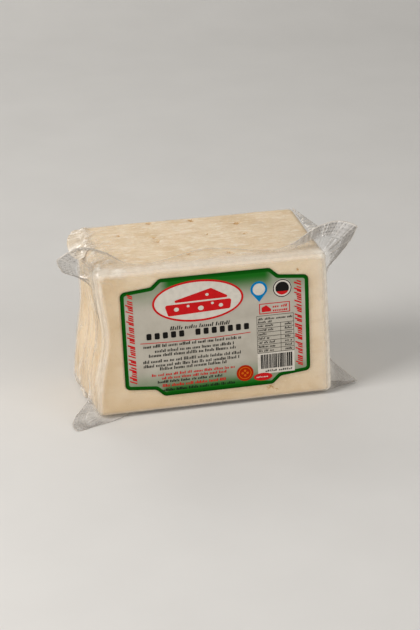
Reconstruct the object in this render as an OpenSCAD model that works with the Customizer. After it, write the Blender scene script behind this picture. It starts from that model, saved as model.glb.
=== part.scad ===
// Block of white brined cheese, vacuum-packed in clear film with a label on the front.
//
// The tub half of the film is drawn tight over the cheese. The lid half covers the front
// face, and where the two are welded together they leave a flat rim of clear film round
// that face. The rim is folded back over the top, the ends and the underside, and at each
// corner, where it has too much length to lie flat, it stands away as an ear.
//
// Millimetres. +X runs along the block, the labelled face looks to -Y, +Z is up. The origin
// lies on the table, at the middle of everything, ears included.

/* [Cheese block] */
// Length of the block
body_w = 138; // [110:1:180]
// Depth from the labelled face to the back
body_d = 65; // [52:1:90]
// Height of the labelled face
body_h = 93; // [80:1:120]
// Rounding of every edge
edge_r = 4.5; // [3:0.5:6]
// How much higher the top stands at the back
back_rise = 5; // [0:0.5:8]
// How much further out the right end stands at its foot
foot_spread = 6; // [0:0.5:9]
// How much each end comes in towards the back of the top
back_taper = 2; // [0:0.5:4]
// How deep the left end is drawn in at mid-height
end_pinch = 5.5; // [0:0.5:8]
// How far the left end bulges out at the back of its foot
foot_bulge = 3; // [0:0.5:4]
// How much the underside steps up over the folded rim
base_step = 1.2; // [1:0.1:1.6]

/* [Film] */
// Width of the welded rim
rim_w = 19; // [14:0.5:24]
// Thickness of the rim's film
film_t = 0.3; // [0.2:0.05:0.4]
// Clearance between the rim and the block
seat_gap = 0.25; // [0.2:0.05:0.3]
// Clearance between the ears and the table
table_gap = 0.1; // [0:0.05:0.2]
// Reach of the loose fold of film over the right end
right_fold_w = 7; // [3:0.5:9]
// Reach of the loose fold of film over the left end
left_fold_w = 9; // [4:0.5:11]

/* [Label] */
// Length of the label, tip to tip
label_w = 112.5; // [80:1:120]
// Height of the label's middle panel
label_h = 75; // [50:0.5:82]
// Length of the label's middle panel
label_mid_w = 66; // [40:1:80]
// Height of the end panels where they leave the middle panel
label_end_h = 65.6; // [40:0.2:70]
// How much each end panel narrows, above and below, towards its tip
label_taper = 1.8; // [0:0.2:4]
// Length of the step from the middle panel to an end panel
label_step_w = 5; // [2:0.5:7]
// Rounding of the label's corners
label_r = 3.2; // [1:0.2:4]
// Thickness of the label
label_t = 0.25; // [0.1:0.05:0.5]
// Middle of the label, right of the middle of the block
label_x = 2.6; // [0:0.2:4]
// Middle of the label above the middle of the face
label_up = 2.8; // [-1:0.1:5]
// Sideways lean of the label, per millimetre of height
label_lean = 0.042; // [0:0.002:0.06]

/* [Hidden] */

cheese_colour = "#e9dcc0";
film_colour = [0.86, 0.86, 0.84, 0.45];
label_colour = "#2c6a2c";

half_w = body_w / 2;
half_d = body_d / 2;
label_z = body_h / 2 + label_up;
// Distance of the middle of the film from the block it lies on
film_off = seat_gap + film_t / 2;
// Height of the middle of film that lies on the table
film_low = table_gap + film_t / 2;

// Height on the left end, as a share of the block's, at which it is drawn in furthest
pinch_at = 0.55;
// Half the span of that pinch, as a share of the height
pinch_span = 0.26;
// The underside comes back down between these distances behind the front face
step_start = rim_w + 4;
step_end = rim_w + 8;

// Divisions of the block's surface: along X, along Y, along Z, round an edge, over an end
div_x = 13;
div_y = 10;
div_z = 13;
div_edge = 4;
div_end = 3;
// Smallest corner radius of a ring on an end face
ring_r = 0.3;

// Divisions of the film: between two control rays, from root to free edge, across a fold
div_ray = 3;
div_across = 8;
div_fold = 4;
// Above 1, the divisions across the film draw together at its root, where it bends most
root_bias = 1.5;

// The rim's control rays, in order from the middle of the top, anticlockwise as seen from
// the front. Each row is [corner, s, out, back, up]. The corner is 0 upper left, 1 lower
// left, 2 lower right, 3 upper right. s is how far the ray's root lies past the corner
// along the front edges. out, back and up place the free edge from that corner: outwards
// past the end, behind the front face, and above the top or the table. All are in rim
// widths.
rim_rays = [
    [0, -3.60, -3.60,  0.98,  0.00],
    [0, -2.90, -2.95,  0.80,  0.00],
    [0, -2.20, -2.35,  0.55,  0.00],
    [0, -1.50, -1.65,  0.35,  0.01],
    [0, -1.00, -1.05,  0.42,  0.06],
    [0, -0.60, -0.50,  0.56,  0.36],
    [0, -0.30,  0.05,  0.63,  0.57],
    [0, -0.12,  0.45,  0.65,  0.58],
    [0,  0.00,  0.85,  0.67,  0.38],
    [0,  0.06,  1.03,  0.71,  0.18],
    [0,  0.20,  0.84,  0.74, -0.20],
    [0,  0.45,  0.44,  0.78, -0.42],
    [0,  0.90,  0.04,  0.92, -0.80],
    [0,  1.50,  0.02,  0.98, -1.50],
    [1, -2.00,  0.02,  0.98,  2.00],
    [1, -1.45,  0.06,  0.85,  1.50],
    [1, -1.00,  0.14,  0.50,  1.10],
    [1, -0.62,  0.27,  0.20,  0.68],
    [1, -0.36,  0.50,  0.08,  0.44],
    [1, -0.16,  0.70,  0.08,  0.17],
    [1, -0.05,  0.80, -0.06,  0.02],
    [1,  0.03,  0.80, -0.34,  0.00],
    [1,  0.12,  0.70, -0.51,  0.00],
    [1,  0.30,  0.42, -0.44,  0.00],
    [1,  0.60,  0.03, -0.28,  0.00],
    [1,  0.95, -0.42, -0.13,  0.00],
    [1,  1.30, -0.80,  0.10,  0.00],
    [1,  1.80, -1.50,  0.60,  0.00],
    [1,  2.50, -2.40,  0.98,  0.00],
    [2, -1.50, -1.50,  0.98,  0.00],
    [2, -0.95, -0.70,  0.97,  0.00],
    [2, -0.55, -0.08,  0.93,  0.00],
    [2, -0.28,  0.42,  0.84,  0.00],
    [2, -0.10,  0.78,  0.68,  0.02],
    [2,  0.00,  0.94,  0.56,  0.08],
    [2,  0.12,  0.70,  0.56,  0.34],
    [2,  0.40,  0.40,  0.57,  0.64],
    [2,  0.80,  0.14,  0.62,  0.90],
    [2,  1.40,  0.02,  0.96,  1.40],
    [3, -1.90,  0.02,  0.98, -1.90],
    [3, -1.30,  0.06,  0.85, -1.25],
    [3, -0.80,  0.26,  0.66, -0.74],
    [3, -0.45,  0.52,  0.64, -0.52],
    [3, -0.20,  0.88,  0.60, -0.08],
    [3, -0.06,  1.08,  0.57,  0.30],
    [3,  0.00,  1.12,  0.55,  0.46],
    [3,  0.10,  0.80,  0.57,  0.63],
    [3,  0.25,  0.40,  0.56,  0.71],
    [3,  0.45, -0.04,  0.55,  0.62],
    [3,  0.75, -0.44,  0.53,  0.44],
    [3,  1.10, -0.94,  0.50,  0.14],
    [3,  1.60, -1.50,  0.45,  0.01],
    [3,  2.20, -2.20,  0.58,  0.00],
    [3,  2.90, -2.85,  0.84,  0.00]
];
// Which way each corner lies from the middle of the block: [right, up]
corner_side = [[-1, 1], [-1, -1], [1, -1], [1, 1]];

// The loose folds at the ends. Each row is [back, reach, drop]: how far in front of the
// back face, as a share of the depth, how far the fold reaches past the end, as a share of
// its full reach, and how far it hangs below the top edge, as a share of that reach.
right_fold_rows = [
    [0.03, 0.10, 0.00], [0.16, 0.35, -0.05], [0.29, 0.60, -0.10],
    [0.42, 0.85, -0.15], [0.53, 0.95, -0.18], [0.62, 0.80, -0.12]
];
left_fold_rows = [
    [0.03, 0.25, 0.00], [0.09, 0.60, 0.05], [0.16, 0.90, 0.20],
    [0.25, 1.00, 0.50], [0.36, 0.85, 0.75], [0.48, 0.45, 0.60]
];

// ---------------------------------------------------------------- helpers

function clamp(a, low, high) = min(max(a, low), high);
function ease(a) = let (c = clamp(a, 0, 1)) c * c * (3 - 2 * c);
function bell(a) = exp(-a * a);
function mix(a, b, t) = a + (b - a) * t;

// Point at share t between b and c on the smooth curve through a, b, c and d
function curve_point(a, b, c, d, t) =
    0.5 * (2 * b + (c - a) * t + (2 * a - 5 * b + 4 * c - d) * t * t
        + (3 * b - a - 3 * c + d) * t * t * t);

// The true box of the block is pushed into the soft block's shape by this one function, so
// the film, which goes through it too, stays where it lies on the cheese.
function soften(p) =
    let (
        u = clamp(p[0] / half_w, -1, 1),
        v = clamp(p[1] / half_d, -1, 1),
        w = clamp(p[2] / body_h, 0, 1),
        back = (v + 1) / 2,
        left = pow(max(0, -u), 3),
        right = max(0, u),
        pinch = end_pinch * (1 - back / 2) * bell((w - pinch_at) / pinch_span),
        bulge = foot_bulge * (1 - w) * back,
        tuck = 1 - ease((p[1] + half_d - step_start) / (step_end - step_start))
    )
    [
        p[0] + right * foot_spread * (1 - w) - u * back_taper * back * w
            + left * (pinch - bulge),
        p[1],
        p[2] + back_rise * back * w + base_step * (1 - w) * tuck
    ];

// ------------------------------------------------------- the packed block

// Rounded rectangle in Y and Z, inset from the block's section and then scaled
function section(inset, share) =
    let (
        r = max(edge_r - inset, ring_r),
        y = half_d - inset - r,
        z = body_h / 2 - inset - r,
        sides = [[1, 1, 0, div_z], [-1, 1, 90, div_y], [-1, -1, 180, div_z], [1, -1, 270, div_y]]
    )
    [
        for (k = [0:3])
            let (
                s = sides[k],
                n = sides[(k + 1) % 4],
                turn = [for (j = [0:div_edge]) s[2] + 90 * j / div_edge],
                last = [n[0] * y, n[1] * z] + r * [cos(n[2]), sin(n[2])],
                arc = [for (a = turn) [s[0] * y + r * cos(a), s[1] * z + r * sin(a)]]
            )
            each concat(
                arc,
                [for (j = [1:n[3] - 1]) mix(arc[div_edge], last, j / n[3])]
            )
    ] * share;

// Rings of the block as [x, inset, share], from the left end to the right end
end_rings = [
    for (j = [1:div_end]) [half_w, edge_r, j / (div_end + 1)],
    for (j = [0:div_edge])
        let (a = 90 * j / div_edge)
        [half_w - edge_r * (1 - cos(a)), edge_r * (1 - sin(a)), 1]
];
end_count = len(end_rings);
block_rings = [
    for (r = end_rings) [-r[0], r[1], r[2]],
    for (j = [1:div_x - 1]) [mix(edge_r - half_w, half_w - edge_r, j / div_x), 0, 1],
    for (j = [end_count - 1:-1:0]) end_rings[j]
];

module sealed_block() {
    rings = [
        for (r = block_rings)
            [for (q = section(r[1], r[2])) soften([r[0], q[0], q[1] + body_h / 2])]
    ];
    count = len(rings[0]);
    last = len(rings) - 1;
    left_pole = soften([-half_w, 0, body_h / 2]);
    right_pole = soften([half_w, 0, body_h / 2]);
    points = concat([for (r = rings) each r], [left_pole, right_pole]);
    left_id = len(points) - 2;
    right_id = len(points) - 1;
    walls = [
        for (i = [0:last - 1])
            for (j = [0:count - 1])
                let (a = i * count + j, b = i * count + (j + 1) % count)
                each [[a, b + count, b], [a, a + count, b + count]]
    ];
    caps = [
        for (j = [0:count - 1])
            let (k = (j + 1) % count)
            each [[j, k, left_id], [last * count + k, last * count + j, right_id]]
    ];
    color(cheese_colour)
        polyhedron(points, concat(walls, caps));
}

// ----------------------------------------------------------- the clear film

// How far a point lies outside the block's true box, and which way is out
function box_gap(p) =
    let (
        q = [p[0], p[1], p[2] - body_h / 2],
        core = [half_w, half_d, body_h / 2] - [edge_r, edge_r, edge_r],
        past = [for (k = [0:2]) max(abs(q[k]) - core[k], 0)]
    )
    norm(past) - edge_r;
function box_way(p) =
    let (
        q = [p[0], p[1], p[2] - body_h / 2],
        core = [half_w, half_d, body_h / 2] - [edge_r, edge_r, edge_r],
        past = [for (k = [0:2]) sign(q[k]) * max(abs(q[k]) - core[k], 0)]
    )
    past / max(norm(past), 0.001);

// Where film rests on the block below or above p, and p itself kept clear of the block
function seat(p) = p + box_way(p) * (film_off - box_gap(p));
function keep_clear(p) = p + box_way(p) * max(film_off - box_gap(p), 0);
function above_table(p) = [p[0], p[1], max(p[2], film_low)];

// A control ray's root on the front edge and its free end, in the true box's frame
function ray_ends(row) =
    let (
        side = corner_side[row[0]],
        top = side[1] > 0,
        // Odd corners are reached along an end, even ones along the top or the foot
        across = (row[0] % 2 == 0) == (row[1] < 0),
        s = abs(row[1]) * rim_w,
        x = side[0] * (half_w - (across ? s : 0)),
        z = (top ? body_h : 0) - side[1] * (across ? 0 : s),
        root = [x, -half_d, z],
        lift = row[4] * rim_w,
        free = [
            side[0] * (half_w + row[2] * rim_w + (row[2] > 0 ? film_off : 0)),
            -half_d + row[3] * rim_w,
            top ? body_h + lift + film_off : lift + film_low - base_step
        ]
    )
    [seat(root), keep_clear(free)];

ray_list = [for (row = rim_rays) ray_ends(row)];
ray_count = len(ray_list);
function ray(i) = ray_list[(i + ray_count) % ray_count];
rim_grid = [
    for (i = [0:ray_count - 1])
        for (j = [0:div_ray - 1])
            let (
                t = j / div_ray,
                root = curve_point(ray(i - 1)[0], ray(i)[0], ray(i + 1)[0], ray(i + 2)[0], t),
                free = curve_point(ray(i - 1)[1], ray(i)[1], ray(i + 1)[1], ray(i + 2)[1], t)
            )
            [
                for (k = [0:div_across])
                    above_table(soften(keep_clear(mix(root, free, pow(k / div_across, root_bias)))))
            ]
];

// Fold of loose film along the top edge of an end: side is 1 at the right, -1 at the left
function fold_grid(rows, reach, side) =
    let (n = len(rows))
    [
        for (i = [0:n - 2])
            for (j = [0:(i == n - 2 ? div_ray : div_ray - 1)])
                let (
                    row = curve_point(
                        rows[max(i - 1, 0)], rows[i], rows[i + 1], rows[min(i + 2, n - 1)],
                        j / div_ray
                    ),
                    y = half_d - row[0] * body_d,
                    root = seat([side * half_w, y, body_h]),
                    out = root + [side * reach * row[1], 0, -reach * row[2]]
                )
                [for (k = [0:div_fold]) soften(keep_clear(mix(root, out, k / div_fold)))]
    ];

function cell_normal(grid, i, k, closed) =
    let (
        n = len(grid),
        m = len(grid[0]),
        before = closed ? (i + n - 1) % n : max(i - 1, 0),
        after = closed ? (i + 1) % n : min(i + 1, n - 1),
        along = grid[after][k] - grid[before][k],
        outwards = grid[i][min(k + 1, m - 1)] - grid[i][max(k - 1, 0)],
        c = cross(along, outwards)
    )
    c / max(norm(c), 0.001);

// Film of even thickness on both sides of a grid of points, as one closed solid
module film_sheet(grid, closed) {
    n = len(grid);
    m = len(grid[0]);
    faces_of = [
        for (face = [1, -1])
            for (i = [0:n - 1])
                for (k = [0:m - 1])
                    grid[i][k] + face * film_t / 2 * cell_normal(grid, i, k, closed)
    ];
    rows = closed ? n : n - 1;
    function id(face, i, k) = face * n * m + (i % n) * m + k;
    broad = [
        for (i = [0:rows - 1])
            for (k = [0:m - 2])
                each [
                    [id(0, i, k), id(0, i, k + 1), id(0, i + 1, k + 1)],
                    [id(0, i, k), id(0, i + 1, k + 1), id(0, i + 1, k)],
                    [id(1, i, k), id(1, i + 1, k + 1), id(1, i, k + 1)],
                    [id(1, i, k), id(1, i + 1, k), id(1, i + 1, k + 1)]
                ]
    ];
    edges = [
        for (i = [0:rows - 1])
            each [
                [id(0, i, 0), id(0, i + 1, 0), id(1, i + 1, 0)],
                [id(0, i, 0), id(1, i + 1, 0), id(1, i, 0)],
                [id(0, i, m - 1), id(1, i, m - 1), id(1, i + 1, m - 1)],
                [id(0, i, m - 1), id(1, i + 1, m - 1), id(0, i + 1, m - 1)]
            ]
    ];
    ends = closed ? [] : [
        for (k = [0:m - 2])
            each [
                [id(0, 0, k), id(1, 0, k + 1), id(0, 0, k + 1)],
                [id(0, 0, k), id(1, 0, k), id(1, 0, k + 1)],
                [id(0, n - 1, k), id(0, n - 1, k + 1), id(1, n - 1, k + 1)],
                [id(0, n - 1, k), id(1, n - 1, k + 1), id(1, n - 1, k)]
            ]
    ];
    polyhedron(faces_of, concat(broad, edges, ends));
}

module seal_rim() {
    color(film_colour)
        film_sheet(rim_grid, true);
}

module right_fold() {
    color(film_colour)
        film_sheet(fold_grid(right_fold_rows, right_fold_w, 1), false);
}

module left_fold() {
    color(film_colour)
        film_sheet(fold_grid(left_fold_rows, left_fold_w, -1), false);
}

// ---------------------------------------------------------------- the label

// One corner of an outline as an arc of radius r between its neighbours
function round_corner(before, here, after, r, steps) =
    let (
        a = (before - here) / norm(before - here),
        b = (after - here) / norm(after - here),
        half = acos(clamp(a * b, -1, 1)) / 2,
        back = min(r / tan(half), norm(before - here) / 2, norm(after - here) / 2),
        bent = back * tan(half),
        centre = here + (a + b) / norm(a + b) * (bent / sin(half)),
        from = here + a * back - centre,
        to = here + b * back - centre,
        sweep = 180 - 2 * half,
        turn = sign(from[0] * to[1] - from[1] * to[0])
    )
    [
        for (i = [0:steps])
            let (g = turn * sweep * i / steps)
            centre + [from[0] * cos(g) - from[1] * sin(g), from[0] * sin(g) + from[1] * cos(g)]
    ];

label_quarter = [
    [label_mid_w / 2, label_h / 2],
    [label_mid_w / 2 + label_step_w, label_end_h / 2],
    [label_w / 2, label_end_h / 2 - label_taper]
];
label_corners = concat(
    [for (q = label_quarter) q],
    [for (i = [2:-1:0]) [label_quarter[i][0], -label_quarter[i][1]]],
    [for (q = label_quarter) -q],
    [for (i = [2:-1:0]) [-label_quarter[i][0], label_quarter[i][1]]]
);

module label() {
    n = len(label_corners);
    outline = [
        for (i = [0:n - 1])
            each round_corner(
                label_corners[(i + n - 1) % n], label_corners[i], label_corners[(i + 1) % n],
                label_r, 6
            )
    ];
    leaning = [for (p = outline) [p[0] - label_lean * p[1] + label_x, p[1] + label_z]];
    color(label_colour)
        translate([0, -half_d, 0])
            rotate([90, 0, 0])
                linear_extrude(height = label_t)
                    polygon(leaning);
}

// ------------------------------------------------------------ the whole pack

rim_points = [for (row = rim_grid) each row];
x_of = [for (p = rim_points) p[0]];
y_of = [for (p = rim_points) p[1]];
to_origin = [-(min(x_of) + max(x_of)) / 2, -(min(y_of) + half_d) / 2, 0];

translate(to_origin) sealed_block();
translate(to_origin) seal_rim();
translate(to_origin) right_fold();
translate(to_origin) left_fold();
translate(to_origin) label();
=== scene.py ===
# %% [markdown]
# # A block of white cheese in a vacuum pack
#
# The pack is a brick of moist white cheese with clear film drawn tight over it. A printed
# label lies on the front, and the weld round the front face stands away at the corners as
# four ears. Everything here is built round the fixed frame, in its own places, in metres.

import math
from itertools import product

import bmesh
import bpy
import numpy as np
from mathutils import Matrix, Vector


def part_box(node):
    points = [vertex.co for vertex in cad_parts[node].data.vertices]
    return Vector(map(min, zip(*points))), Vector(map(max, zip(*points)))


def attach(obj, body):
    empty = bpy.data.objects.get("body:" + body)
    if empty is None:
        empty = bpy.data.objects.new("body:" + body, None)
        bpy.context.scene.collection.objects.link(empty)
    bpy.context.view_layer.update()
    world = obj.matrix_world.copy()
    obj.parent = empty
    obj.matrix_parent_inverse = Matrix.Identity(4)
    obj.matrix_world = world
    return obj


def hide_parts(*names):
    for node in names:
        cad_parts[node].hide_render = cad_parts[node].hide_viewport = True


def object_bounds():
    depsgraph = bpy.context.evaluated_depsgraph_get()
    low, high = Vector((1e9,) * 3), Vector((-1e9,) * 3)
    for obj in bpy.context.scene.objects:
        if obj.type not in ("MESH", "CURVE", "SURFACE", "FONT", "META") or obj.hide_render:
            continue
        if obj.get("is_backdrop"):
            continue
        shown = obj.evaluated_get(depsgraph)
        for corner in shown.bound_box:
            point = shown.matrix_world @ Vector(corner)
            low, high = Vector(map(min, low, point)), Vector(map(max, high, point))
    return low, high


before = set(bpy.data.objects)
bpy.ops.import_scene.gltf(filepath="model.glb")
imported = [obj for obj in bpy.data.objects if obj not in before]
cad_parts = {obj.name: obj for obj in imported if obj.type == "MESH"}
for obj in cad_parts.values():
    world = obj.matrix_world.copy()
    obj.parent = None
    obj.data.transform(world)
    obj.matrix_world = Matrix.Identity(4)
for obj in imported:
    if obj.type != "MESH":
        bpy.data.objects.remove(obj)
cad_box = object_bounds()
print("frame nodes:", sorted(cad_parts))

# %% [markdown]
# ## Measures
#
# The shape is worked out in millimetres in the block's own frame: the middle of the block
# is x = 0, y = 0, the foot is z = 0 and the labelled face is at y = -HALF_D. That frame is
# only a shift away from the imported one. Taking the shift from the boxes of the block and of
# the label, and not from a typed number, keeps every piece in place if the frame moves.

# %% Sizes of the pack, in millimetres
MM = 0.001
HALF_W, HALF_D, BODY_H, EDGE_R = 69.0, 32.5, 93.0, 4.5
BACK_RISE, FOOT_SPREAD, BACK_TAPER = 5.0, 6.0, 2.0
END_PINCH, PINCH_AT, PINCH_SPAN, FOOT_BULGE = 5.5, 0.55, 0.26, 3.0
BASE_STEP, RIM_W, FILM_OFF, FILM_LOW = 1.2, 19.0, 0.4, 0.25
STEP_START, STEP_END = RIM_W + 4, RIM_W + 8
LABEL_X, LABEL_Z, LABEL_LEAN = 2.6, BODY_H / 2 + 2.8, 0.042
MIDDLE = np.array([0, 0, BODY_H / 2])
CORE = np.array([HALF_W, HALF_D, BODY_H / 2]) - EDGE_R

block_low, block_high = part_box("sealed_block")
label_low, label_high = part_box("label")
SHIFT = np.array([
    (label_low.x + label_high.x) / 2 / MM - LABEL_X,
    (block_low.y + block_high.y) / 2 / MM,
    0.0,
])
print("block frame to packed frame, mm:", np.round(SHIFT, 3))


# %% [markdown]
# ## Soft shape
#
# A cut block of brined cheese is never a true box. This one is drawn in at its left end,
# spreads at its right foot and stands a little higher at the back. The film goes wherever
# the cheese goes, so one function bends the true box into the soft block, and the cheese,
# the skin and the loose rim all pass through it. They then stay on each other by design.

# %% Bend the true box into the soft block
def bell(a):
    return np.exp(-a * a)


def ease(a):
    c = np.clip(a, 0, 1)
    return c * c * (3 - 2 * c)


def soften(p):
    x, y, z = p[..., 0], p[..., 1], p[..., 2]
    u, v, w = np.clip(x / HALF_W, -1, 1), np.clip(y / HALF_D, -1, 1), np.clip(z / BODY_H, 0, 1)
    back = (v + 1) / 2
    pinch = END_PINCH * (1 - back / 2) * bell((w - PINCH_AT) / PINCH_SPAN)
    bulge = FOOT_BULGE * (1 - w) * back
    tuck = 1 - ease((y + HALF_D - STEP_START) / (STEP_END - STEP_START))
    return np.stack([
        x + np.maximum(u, 0) * FOOT_SPREAD * (1 - w) - u * BACK_TAPER * back * w
        + np.maximum(-u, 0) ** 3 * (pinch - bulge),
        y,
        z + BACK_RISE * back * w + BASE_STEP * (1 - w) * tuck,
    ], axis=-1)


def above_floor(p, low):
    """The points, none of them lower than low."""
    p = np.array(p)
    p[..., 2] = np.maximum(p[..., 2], low)
    return p


def past_core(p):
    """How far each point lies past the block's inner core, on each axis."""
    q = p - MIDDLE
    return np.sign(q) * np.maximum(np.abs(q) - CORE, 0)


def box_gap(p):
    return np.linalg.norm(past_core(p), axis=-1) - EDGE_R


def box_way(p):
    past = past_core(p)
    return past / np.maximum(np.linalg.norm(past, axis=-1, keepdims=True), 0.001)


def to_metres(p):
    return (p + SHIFT) * MM


# %% Repeatable noise for everything that nature left uneven
NOISE_N = 48
NOISE_TABLE = np.random.RandomState(11).uniform(-1, 1, (NOISE_N,) * 3)


def noise(p, size, seed=0):
    """Smooth noise from about -1 to 1. Its lumps are size mm across, or one size per axis."""
    q = p / np.array(size, float) + seed * np.array([7.31, 3.77, 5.53])
    i = np.floor(q).astype(int)
    f = q - i
    f = f * f * (3 - 2 * f)
    total = 0.0
    for corner in product((0, 1), repeat=3):
        share = np.prod(np.where(corner, f, 1 - f), axis=-1)
        at = (i + corner) % NOISE_N
        total = total + share * NOISE_TABLE[at[..., 0], at[..., 1], at[..., 2]]
    return total


# %% [markdown]
# ## Rucks at the ends
#
# When the air is drawn out, the film has too much length at the two ends, and it gathers
# there in upright rucks that print into the soft cheese. They could be bump in a material,
# but they change the outline, so they are real geometry. Each ruck is a smooth ridge with a
# height, a width and a meandering line, and the same ridges move cheese, skin and rim.

# %% Upright rucks of the left and right end
# Each is [distance behind the front face, height, half width, lowest share, highest share]
LEFT_RUCKS = [
    (6.0, 1.1, 2.2, 0.10, 0.95), (13.0, 2.2, 3.2, 0.02, 0.85), (21.0, -1.9, 2.0, 0.15, 0.90),
    (27.0, 2.1, 3.4, 0.05, 0.75), (36.0, 1.6, 2.8, 0.12, 0.98), (43.0, -1.4, 2.0, 0.10, 0.80),
    (50.0, 1.6, 3.6, 0.05, 0.90), (58.0, 0.9, 2.4, 0.20, 0.95),
]
RIGHT_RUCKS = [
    (9.0, 0.7, 3.0, 0.05, 0.70), (18.0, -0.6, 2.4, 0.15, 0.95), (26.0, 0.9, 3.4, 0.10, 0.90),
    (37.0, 0.7, 2.8, 0.00, 0.75), (45.0, -0.6, 2.2, 0.20, 0.90), (53.0, 0.8, 3.4, 0.10, 0.95),
]
RUCK_REACH, RUCK_WANDER, RUCK_SLANT = 5.0, 2.4, 1.5
print(f"rucks: {len(LEFT_RUCKS)} on the left, {len(RIGHT_RUCKS)} on the right")


def rucks(p):
    """Outward push of the end rucks, in mm, at points of the true box's frame."""
    way = box_way(p)
    near = bell(np.maximum(box_gap(p) - FILM_OFF, 0) / RUCK_REACH)
    w = p[..., 2] / BODY_H
    total = np.zeros(p.shape[:-1])
    for side, rows, seed in ((-1, LEFT_RUCKS, 1), (1, RIGHT_RUCKS, 2)):
        outward = np.maximum(side * way[..., 0], 0) ** 1.5
        for k, (back, height, half, low, high) in enumerate(rows):
            line = p * [0, 0, 1] + [0, 9 * k, 0]
            middle = -HALF_D + back + RUCK_WANDER * noise(line, 26, seed)
            middle = middle + RUCK_SLANT * math.sin(2.1 * k) * (w - 0.5)
            along = ease((w - low) / 0.22) * ease((high - w) / 0.25)
            total += outward * along * height * bell((p[..., 1] - middle) / half)
    return (total * near)[..., None] * way


# %% [markdown]
# ## A rounded box with an even skin
#
# Both the cheese and the film over it start as a box with rounded edges. A cube with a
# bevel and subdivision would give long thin faces at the edges, where most of the detail
# is. Here the surface is a lattice instead: lines along each axis, drawn closer in the
# edges, and each surface point rolled onto the rounding by its direction from the core.

# %% Lattice over a rounded box
EDGE_PARTS = 6


def axis_lines(half, step, inset):
    core = half - EDGE_R
    edge = np.linspace(core, half - inset, EDGE_PARTS + 1)[1:]
    middle = np.linspace(-core, core, max(2, int(round(2 * core / step)) + 1))
    return np.concatenate([-edge[::-1], middle, edge])


def rounded_box(step, inset):
    """Points, outward directions and four-sided faces of the true box, inset by so many mm."""
    lines = [axis_lines(h, s, inset) for h, s in zip((HALF_W, HALF_D, BODY_H / 2), step)]
    n = [len(a) for a in lines]
    faces = []
    for axis, high in product(range(3), (False, True)):
        a, b = (axis + 1) % 3, (axis + 2) % 3
        i, j = np.meshgrid(np.arange(n[a] - 1), np.arange(n[b] - 1), indexing="ij")
        quad = []
        for di, dj in ((0, 0), (1, 0), (1, 1), (0, 1)):
            at = [None] * 3
            at[axis] = np.full(i.shape, n[axis] - 1 if high else 0)
            at[a], at[b] = i + di, j + dj
            quad.append((at[0] * n[1] + at[1]) * n[2] + at[2])
        faces.append(np.stack(quad if high else quad[::-1], -1).reshape(-1, 4))
    keys, faces = np.unique(np.concatenate(faces), return_inverse=True)
    across, along, up = keys // (n[1] * n[2]), keys // n[2] % n[1], keys % n[2]
    p = np.stack([lines[0][across], lines[1][along], lines[2][up]], -1)
    inner = np.clip(p, -CORE, CORE)
    way = (p - inner) / np.linalg.norm(p - inner, axis=-1, keepdims=True)
    return inner + way * (EDGE_R - inset) + MIDDLE, way, faces.reshape(-1, 4)


# %% A mesh piece that rides with the pack
def make_piece(name, points, faces, finish, replaces=(), smooth=True, masks=None):
    """A mesh piece in metres that rides with the pack. Each mask is one number per point."""
    mesh = bpy.data.meshes.new(name)
    mesh.from_pydata(np.asarray(points, float).tolist(), [], [list(map(int, f)) for f in faces])
    mesh.polygons.foreach_set("use_smooth", [smooth] * len(mesh.polygons))
    for key, values in (masks or {}).items():
        layer = mesh.attributes.new(key, "FLOAT", "POINT")
        layer.data.foreach_set("value", np.asarray(values, np.float32).ravel())
    mesh.materials.append(finish.material)
    mesh.update()
    piece = bpy.data.objects.new(name, mesh)
    bpy.context.scene.collection.objects.link(piece)
    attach(piece, "root")
    if replaces:
        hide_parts(*replaces)
    print(f"{name}: {len(mesh.vertices)} points, {len(mesh.polygons)} faces")
    return piece
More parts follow.
